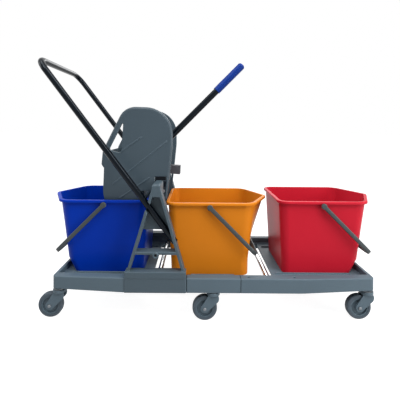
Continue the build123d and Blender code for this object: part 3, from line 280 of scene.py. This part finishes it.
def powder_coat(name, colour):
    """Gloss black coating on tube: orange-peel ripple, a few dull rubs, and edges painted paler as a
    highlight.
    """
    skin = Finish(bpy.data.materials.new(name))
    normal = skin.rounded(0.001)
    ripple = skin.noise(scale=160, detail=2)
    rubs = skin.ramp(skin.noise(scale=35, detail=6, stretch=(1, 1, 2)), (0.56, 0), (0.7, 1))
    # Rubs are wear; the paler edges are a painted highlight.
    base = skin.blend(rubs * 0.5 + skin.edges(normal) * 0.3, tone(colour, 1), tone(colour, 1.6))
    return skin.surface(
        {
            "Base Color": base,
            "Roughness": 0.13 + 0.05 * rubs,
            "Specular IOR Level": 0.16,
            "Specular Tint": (0.78, 0.9, 1, 1),
            "Normal": skin.bump(ripple, normal, distance=0.0002, strength=0.01),
        }
    )


def plated_steel(name, colour, roughness, stretch=(1, 1, 1)):
    """Zinc or bright steel with drawn streaks and dull spots."""
    skin = Finish(bpy.data.materials.new(name))
    streak = skin.noise(scale=300, detail=4, stretch=stretch)
    dull = skin.noise(scale=45, detail=4)
    return skin.surface(
        {
            "Base Color": skin.blend(dull, tone(colour, 0.8), tone(colour, 1.05)),
            "Metallic": 1.0,
            "Roughness": roughness + 0.2 * (streak - 0.5) + 0.15 * (dull - 0.5),
            "Normal": skin.bump(streak, skin.rounded(0.0006), distance=0.0002, strength=0.12),
        }
    )


def wheel_rubber(name, colour, roughness, shine=0.25):
    """Moulded rubber with a dusty bloom, fine pores, and edges painted paler as a highlight."""
    skin = Finish(bpy.data.materials.new(name))
    normal = skin.rounded(0.0015)
    pores = skin.noise(scale=800, detail=3)
    bloom = skin.noise(scale=28, detail=5)
    base = skin.blend(bloom, tone(colour, 0.75), tone(colour, 1.35))
    # Painted highlight: edges made paler, with pale pores as grain.
    base = skin.blend(skin.edges(normal) * 0.3 + pores * 0.1, base, tone(colour, 2.2))
    return skin.surface(
        {
            "Base Color": base,
            "Roughness": roughness + 0.2 * (bloom - 0.5),
            "Specular IOR Level": shine,
            "Normal": skin.bump(pores, normal, distance=0.0004, strength=0.3),
        }
    )


def grip_sleeve(name, colour):
    """Soft blue sleeve: satin, with a fine pebble and a rubbed sheen."""
    skin = Finish(bpy.data.materials.new(name))
    pebble = skin.noise(scale=700, detail=2)
    rub = skin.noise(scale=30, detail=4)
    return skin.surface(
        {
            "Base Color": skin.blend(rub, tone(colour, 0.85), tone(colour, 1.2)),
            "Roughness": 0.34 + 0.2 * (rub - 0.5),
            "Specular IOR Level": 0.1,
            "Normal": skin.bump(pebble, skin.rounded(0.001), distance=0.0003, strength=0.12),
        }
    )


def dress(material, *nodes):
    """Give solids of the frame one finish, through their material slots."""
    for node in nodes:
        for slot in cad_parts[node].material_slots:
            slot.material = material


# Geometry Nodes: domed heads


class Tree:
    """A Geometry Nodes tree with a named input for each size, and one for the material."""

    def __init__(self, name, sizes):
        self.group = bpy.data.node_groups.new(name, "GeometryNodeTree")
        face = self.group.interface
        face.new_socket("Geometry", in_out="INPUT", socket_type="NodeSocketGeometry")
        self.keys = {}
        for label in sizes:
            made = face.new_socket(label, in_out="INPUT", socket_type="NodeSocketFloat")
            self.keys[label] = made.identifier
        made = face.new_socket("Material", in_out="INPUT", socket_type="NodeSocketMaterial")
        self.keys["Material"] = made.identifier
        face.new_socket("Geometry", in_out="OUTPUT", socket_type="NodeSocketGeometry")
        self.start = self.group.nodes.new("NodeGroupInput")
        self.end = self.group.nodes.new("NodeGroupOutput")

    def node(self, kind, settings=None, sockets=None):
        """Add a node with its settings and its sockets' numbers or links."""
        made = self.group.nodes.new(kind)
        for key, value in (settings or {}).items():
            setattr(made, key, value)
        for key, value in (sockets or {}).items():
            if isinstance(value, bpy.types.NodeSocket):
                self.group.links.new(value, made.inputs[key])
            else:
                made.inputs[key].default_value = value
        return made

    def close(self, geometry):
        """Realize the instances, set the material and end the tree."""
        real = self.node("GeometryNodeRealizeInstances", None, {0: geometry})
        painted = self.node(
            "GeometryNodeSetMaterial",
            None,
            {"Geometry": real.outputs[0], "Material": self.start.outputs["Material"]},
        )
        self.group.links.new(painted.outputs[0], self.end.inputs[0])


def domed_heads_tree():
    """Round heads with a low dome, one on each point, turned along the point's facing."""
    tree = Tree("domed_heads", ("Radius", "Rise"))
    size = tree.start.outputs
    rounds = {"Segments": 24, "Rings": 12, "Radius": size["Radius"]}
    dome = tree.node("GeometryNodeMeshUVSphere", None, rounds)
    share = tree.node("ShaderNodeMath", {"operation": "DIVIDE"}, {0: size["Rise"], 1: size["Radius"]})
    flat = tree.node("ShaderNodeCombineXYZ", None, {"X": 1.0, "Y": 1.0, "Z": share.outputs[0]})
    flatten = {"Geometry": dome.outputs[0], "Scale": flat.outputs[0]}
    low = tree.node("GeometryNodeTransform", None, flatten)
    smooth = tree.node("GeometryNodeSetShadeSmooth", None, {"Geometry": low.outputs[0]})
    vector = {"data_type": "FLOAT_VECTOR"}
    facing = tree.node("GeometryNodeInputNamedAttribute", vector, {"Name": "facing"})
    turned = tree.node("FunctionNodeAlignRotationToVector", {"axis": "Z"}, {"Vector": facing.outputs[0]})
    points = tree.node("GeometryNodeMeshToPoints", None, {"Mesh": size["Geometry"]})
    heads = tree.node(
        "GeometryNodeInstanceOnPoints",
        None,
        {"Points": points.outputs[0], "Instance": smooth.outputs[0], "Rotation": turned.outputs[0]},
    )
    tree.close(heads.outputs[0])
    return tree


def grow(name, tree, places, values, body):
    """Run a tree on points with facings, keep the result as a plain mesh, and let it ride a body."""
    seed = bpy.data.meshes.new(name + "_points")
    seed.from_pydata([place for place, facing in places], [], [])
    attribute = seed.attributes.new("facing", "FLOAT_VECTOR", "POINT")
    for item, (place, facing) in zip(attribute.data, places):
        item.vector = facing
    piece = bpy.data.objects.new(name, seed)
    bpy.context.scene.collection.objects.link(piece)
    modifier = piece.modifiers.new("tree", "NODES")
    modifier.node_group = tree.group
    for label, value in values.items():
        modifier[tree.keys[label]] = value
    seen = piece.evaluated_get(bpy.context.evaluated_depsgraph_get())
    mesh = bpy.data.meshes.new_from_object(seen)
    mesh.name = name
    piece.modifiers.clear()
    piece.data = mesh
    bpy.data.meshes.remove(seed)
    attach(piece, body)
    return piece


# Settings


class TrolleyColours(bpy.types.PropertyGroup):
    """Colours of the plastics, the coating and the rubber."""

    base_grey: bpy.props.FloatVectorProperty(
        name="Base grey", description="Moulded base", subtype="COLOR", default=(0.074, 0.106, 0.13)
    )
    stand_grey: bpy.props.FloatVectorProperty(
        name="Stand grey", description="A-shaped stands", subtype="COLOR", default=(0.052, 0.075, 0.092)
    )
    shield_grey: bpy.props.FloatVectorProperty(
        name="Shield grey", description="Wringer mouldings", subtype="COLOR", default=(0.041, 0.06, 0.075)
    )
    bail_grey: bpy.props.FloatVectorProperty(
        name="Bail grey", description="Bucket handles", subtype="COLOR", default=(0.042, 0.05, 0.053)
    )
    pail_blue: bpy.props.FloatVectorProperty(
        name="Blue", description="Left bucket", subtype="COLOR", default=(0.0005, 0.03, 0.35)
    )
    pail_orange: bpy.props.FloatVectorProperty(
        name="Orange", description="Middle bucket", subtype="COLOR", default=(0.575, 0.177, 0.01)
    )
    pail_red: bpy.props.FloatVectorProperty(
        name="Red", description="Right bucket", subtype="COLOR", default=(0.46, 0.0115, 0.026)
    )
    tube_black: bpy.props.FloatVectorProperty(
        name="Tube black", description="Coated tube", subtype="COLOR", default=(0.001, 0.002, 0.004)
    )
    grip_blue: bpy.props.FloatVectorProperty(
        name="Grip blue", description="Lever sleeve", subtype="COLOR", default=(0.004, 0.026, 0.18)
    )
    tyre_grey: bpy.props.FloatVectorProperty(
        name="Tyre grey", description="Wheel tread", subtype="COLOR", default=(0.05, 0.066, 0.082)
    )
    pad_black: bpy.props.FloatVectorProperty(
        name="Pad black", description="Rubber pads in the notches", subtype="COLOR",
        default=(0.005, 0.006, 0.008),
    )
    stop_grey: bpy.props.FloatVectorProperty(
        name="Stop grey", description="Block under the lever", subtype="COLOR", default=(0.05, 0.05, 0.058)
    )


class TrolleySizes(bpy.types.PropertyGroup):
    """Sizes of the small pieces that the solids leave out."""

    rivet_radius: bpy.props.FloatProperty(
        name="Rivet radius", description="Domed axle end", unit="LENGTH", default=0.0048
    )
    rivet_rise: bpy.props.FloatProperty(
        name="Rivet rise", description="Height of the dome", unit="LENGTH", default=0.0022
    )


class TrolleyStage(bpy.types.PropertyGroup):
    """Camera and light."""

    camera_place: bpy.props.FloatVectorProperty(
        name="Camera", description="Where the camera stands", subtype="XYZ", unit="LENGTH",
        default=(-0.052, -1.171, 0.584),
    )
    lens: bpy.props.FloatProperty(
        name="Lens", description="Focal length on a 36 mm sensor", unit="CAMERA", default=29.25
    )
    roll: bpy.props.FloatProperty(
        name="Roll", description="Lean of the camera", subtype="ANGLE", default=math.radians(-0.42)
    )
    shift: bpy.props.FloatVectorProperty(
        name="Shift", description="Offset of the picture's middle", size=2, default=(0.0063, -0.18)
    )
    key: bpy.props.FloatProperty(
        name="Key", description="Power that scales the main lamps", unit="POWER", default=26.0
    )
    fill: bpy.props.FloatProperty(
        name="Fill", description="Power that scales the side lamps", unit="POWER", default=9.0
    )


# Operators


class TROLLEY_OT_base(bpy.types.Operator):
    """Finish the three base mouldings, the cross tubes and the bolts"""

    bl_idname = "trolley.base"
    bl_label = "Base"

    def execute(self, context):
        colours = context.scene.trolley_colours
        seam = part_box("base_centre")[1][0]
        base = grained_moulding(
            "base_moulding", colours.base_grey, 0.48, grain=900, edge=0.004, sharpest=0.15, seam=seam
        )
        dress(base, *BASE_PIECES)
        dress(plated_steel("bright_tube", BRIGHT_STEEL, 0.2, stretch=(6, 0.2, 6)), "cross_tubes")
        dress(plated_steel("zinc_plate", ZINC, 0.36), *STEEL_PIECES)
        return {"FINISHED"}


class TROLLEY_OT_casters(bpy.types.Operator):
    """Finish stems, forks, axles, hubs and tyres, and close the axles with domed heads"""

    bl_idname = "trolley.casters"
    bl_label = "Casters"

    def execute(self, context):
        colours = context.scene.trolley_colours
        sizes = context.scene.trolley_sizes
        hub_grey = tone(colours.base_grey, HUB_TONE)
        fork = grained_moulding("fork_moulding", colours.base_grey, 0.42, grain=1100, edge=0.002)
        hub = grained_moulding("hub_moulding", hub_grey, 0.45, grain=1100, edge=0.002)
        tyre = wheel_rubber("tyre_tread", colours.tyre_grey, 0.55)
        steel = plated_steel("axle_steel", DARK_STEEL, 0.45)
        dress(steel, "caster_stems")
        heads = domed_heads_tree()
        for corner in CORNERS:
            dress(fork, "fork_" + corner)
            dress(hub, "hub_" + corner)
            dress(tyre, "tyre_" + corner)
            dress(steel, "axle_" + corner)
            low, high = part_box("axle_" + corner)
            middle = box_middle("axle_" + corner)
            inset = sizes.rivet_rise * HEAD_INSET
            places = [
                ((middle.x, low[1] + inset, middle.z), (0, -1, 0)),
                ((middle.x, high[1] - inset, middle.z), (0, 1, 0)),
            ]
            values = {"Radius": sizes.rivet_radius, "Rise": sizes.rivet_rise, "Material": steel}
            piece = grow("axle_heads_" + corner, heads, places, values, "caster_" + corner)
        return {"FINISHED"}


class TROLLEY_OT_stands(bpy.types.Operator):
    """Finish the two A-shaped stands"""

    bl_idname = "trolley.stands"
    bl_label = "Stands"

    def execute(self, context):
        colours = context.scene.trolley_colours
        stand = grained_moulding(
            "stand_moulding", colours.stand_grey, 0.42, grain=1000, edge=0.004, sharpest=0.12
        )
        dress(stand, *STAND_PIECES)
        return {"FINISHED"}


class TROLLEY_OT_push_handle(bpy.types.Operator):
    """Finish the bent push handle"""

    bl_idname = "trolley.push_handle"
    bl_label = "Push handle"

    def execute(self, context):
        colours = context.scene.trolley_colours
        dress(powder_coat("handle_coat", colours.tube_black), "push_handle")
        return {"FINISHED"}


class TROLLEY_OT_buckets(bpy.types.Operator):
    """Finish the three buckets and their bails"""

    bl_idname = "trolley.buckets"
    bl_label = "Buckets"

    def execute(self, context):
        colours = context.scene.trolley_colours
        strap = grained_moulding("bail_strap", colours.bail_grey, 0.35, grain=1200, edge=0.006)
        for pail in PAILS:
            colour = tuple(getattr(colours, "pail_" + pail))
            dress(glossy_pail("pail_" + pail, colour), "bucket_" + pail)
            dress(strap, "bail_" + pail)
        return {"FINISHED"}


class TROLLEY_OT_wringer(bpy.types.Operator):
    """Finish the shields, the basket and the pieces between them"""

    bl_idname = "trolley.wringer"
    bl_label = "Wringer"

    def execute(self, context):
        colours = context.scene.trolley_colours
        shield = grained_moulding(
            "shield_moulding", colours.shield_grey, 0.34, grain=900, edge=0.004, sharpest=0.06
        )
        dress(shield, *SHIELDS)
        inner = grained_moulding("inner_moulding", colours.shield_grey, 0.5, grain=900, edge=0.0015)
        dress(inner, "drain_basket", "stop_beam", "press_plate")
        dress(wheel_rubber("stop_rubber", colours.stop_grey, 0.5), "lever_stop")
        dress(wheel_rubber("pad_rubber", colours.pad_black, 0.6, shine=0.06), "hanger_pads")
        shaft = plated_steel("shaft_steel", SHAFT_STEEL, 0.25, stretch=(4, 0.3, 4))
        dress(shaft, "press_shaft", "return_springs")
        return {"FINISHED"}


class TROLLEY_OT_lever(bpy.types.Operator):
    """Finish the lever, its grip and its bolt"""

    bl_idname = "trolley.lever"
    bl_label = "Lever"

    def execute(self, context):
        colours = context.scene.trolley_colours
        dress(powder_coat("lever_coat", colours.tube_black), "lever_tube")
        dress(grip_sleeve("grip_sleeve", colours.grip_blue), "lever_grip")
        dress(plated_steel("bolt_steel", ZINC, 0.36), "lever_bolt")
        return {"FINISHED"}


def lamp(name, place, size, power):
    """One soft rectangular lamp, aimed at the trolley."""
    data = bpy.data.lights.new(name, "AREA")
    data.shape = "RECTANGLE"
    data.size, data.size_y = size
    data.energy = power
    made = bpy.data.objects.new(name, data)
    made.location = place
    made.rotation_mode = "QUATERNION"
    made.rotation_quaternion = (Vector(LAMP_AIM) - Vector(place)).to_track_quat("-Z", "Y")
    bpy.context.scene.collection.objects.link(made)


def white_world():
    """Even pale light from all round, seen as white by the camera and in gloss."""
    sky = Finish(bpy.data.worlds.new("studio"))
    dim = sky.node("ShaderNodeBackground", None, {"Color": COOL_WHITE, "Strength": SKY_LIGHT})
    white = sky.node("ShaderNodeBackground", None, {"Color": WHITE, "Strength": 1})
    mixed = sky.node("ShaderNodeMixShader", None, {0: sky.in_view(), 1: dim, 2: white})
    bpy.context.scene.world = sky.close(mixed, "ShaderNodeOutputWorld")


def pale_floor():
    """A wide white floor that keeps a faint shadow."""
    mesh = bpy.data.meshes.new("studio_floor")
    corners = [(x * FLOOR_REACH, y * FLOOR_REACH, 0) for x, y in ((-1, -1), (1, -1), (1, 1), (-1, 1))]
    mesh.from_pydata(corners, [], [(0, 1, 2, 3)])
    floor = bpy.data.objects.new("studio_floor", mesh)
    bpy.context.scene.collection.objects.link(floor)
    skin = Finish(bpy.data.materials.new("floor_white"))
    glow = skin.node("ShaderNodeEmission", None, {"Color": WHITE, "Strength": FLOOR_GLOW})
    dull = skin.node("ShaderNodeBsdfDiffuse", None, {"Color": FLOOR_TONE_SEEN})
    lit = skin.node("ShaderNodeAddShader", None, {0: glow, 1: dull})
    plain = skin.node("ShaderNodeBsdfDiffuse", None, {"Color": FLOOR_TONE})
    mixed = skin.node("ShaderNodeMixShader", None, {0: skin.in_view(), 1: plain, 2: lit})
    mesh.materials.append(skin.close(mixed))


class TROLLEY_OT_stage(bpy.types.Operator):
    """Set up the floor, the lamps, the world and the camera"""

    bl_idname = "trolley.stage"
    bl_label = "Stage"

    def execute(self, context):
        scene = context.scene
        stage = scene.trolley_stage
        scene.view_settings.view_transform = "Standard"
        pale_floor()
        white_world()
        for name, setting, factor, place, size in LAMPS:
            lamp(name, place, size, factor * getattr(stage, setting))
        data = bpy.data.cameras.new("photo_camera")
        data.sensor_fit = "HORIZONTAL"
        data.sensor_width = SENSOR_WIDTH
        data.lens = stage.lens
        data.shift_x, data.shift_y = stage.shift
        camera = bpy.data.objects.new("photo_camera", data)
        camera.location = stage.camera_place
        camera.rotation_euler = (math.radians(90), stage.roll, 0)
        scene.collection.objects.link(camera)
        scene.camera = camera
        return {"FINISHED"}


class TROLLEY_PT_panel(bpy.types.Panel):
    """Buttons for each group of pieces, and the settings"""

    bl_idname = "TROLLEY_PT_panel"
    bl_label = "Mop bucket trolley"
    bl_space_type = "VIEW_3D"
    bl_region_type = "UI"
    bl_category = "Trolley"

    def draw(self, context):
        for step in STEPS:
            self.layout.operator(step.bl_idname)
        scene = context.scene
        for group in (scene.trolley_colours, scene.trolley_sizes, scene.trolley_stage):
            column = self.layout.column()
            for key in group.bl_rna.properties.keys():
                if key not in {"rna_type", "name"}:
                    column.prop(group, key)


STEPS = (
    TROLLEY_OT_base,
    TROLLEY_OT_casters,
    TROLLEY_OT_stands,
    TROLLEY_OT_push_handle,
    TROLLEY_OT_buckets,
    TROLLEY_OT_wringer,
    TROLLEY_OT_lever,
    TROLLEY_OT_stage,
)
CLASSES = (TrolleyColours, TrolleySizes, TrolleyStage, *STEPS, TROLLEY_PT_panel)


def register():
    for cls in CLASSES:
        bpy.utils.register_class(cls)
    bpy.types.Scene.trolley_colours = bpy.props.PointerProperty(type=TrolleyColours)
    bpy.types.Scene.trolley_sizes = bpy.props.PointerProperty(type=TrolleySizes)
    bpy.types.Scene.trolley_stage = bpy.props.PointerProperty(type=TrolleyStage)


def unregister():
    del bpy.types.Scene.trolley_stage
    del bpy.types.Scene.trolley_sizes
    del bpy.types.Scene.trolley_colours
    for cls in reversed(CLASSES):
        bpy.utils.unregister_class(cls)


def main():
    register()
    bpy.ops.trolley.base()
    bpy.ops.trolley.casters()
    bpy.ops.trolley.stands()
    bpy.ops.trolley.push_handle()
    bpy.ops.trolley.buckets()
    bpy.ops.trolley.wringer()
    bpy.ops.trolley.lever()
    bpy.ops.trolley.stage()


if __name__ == "__main__":
    main()
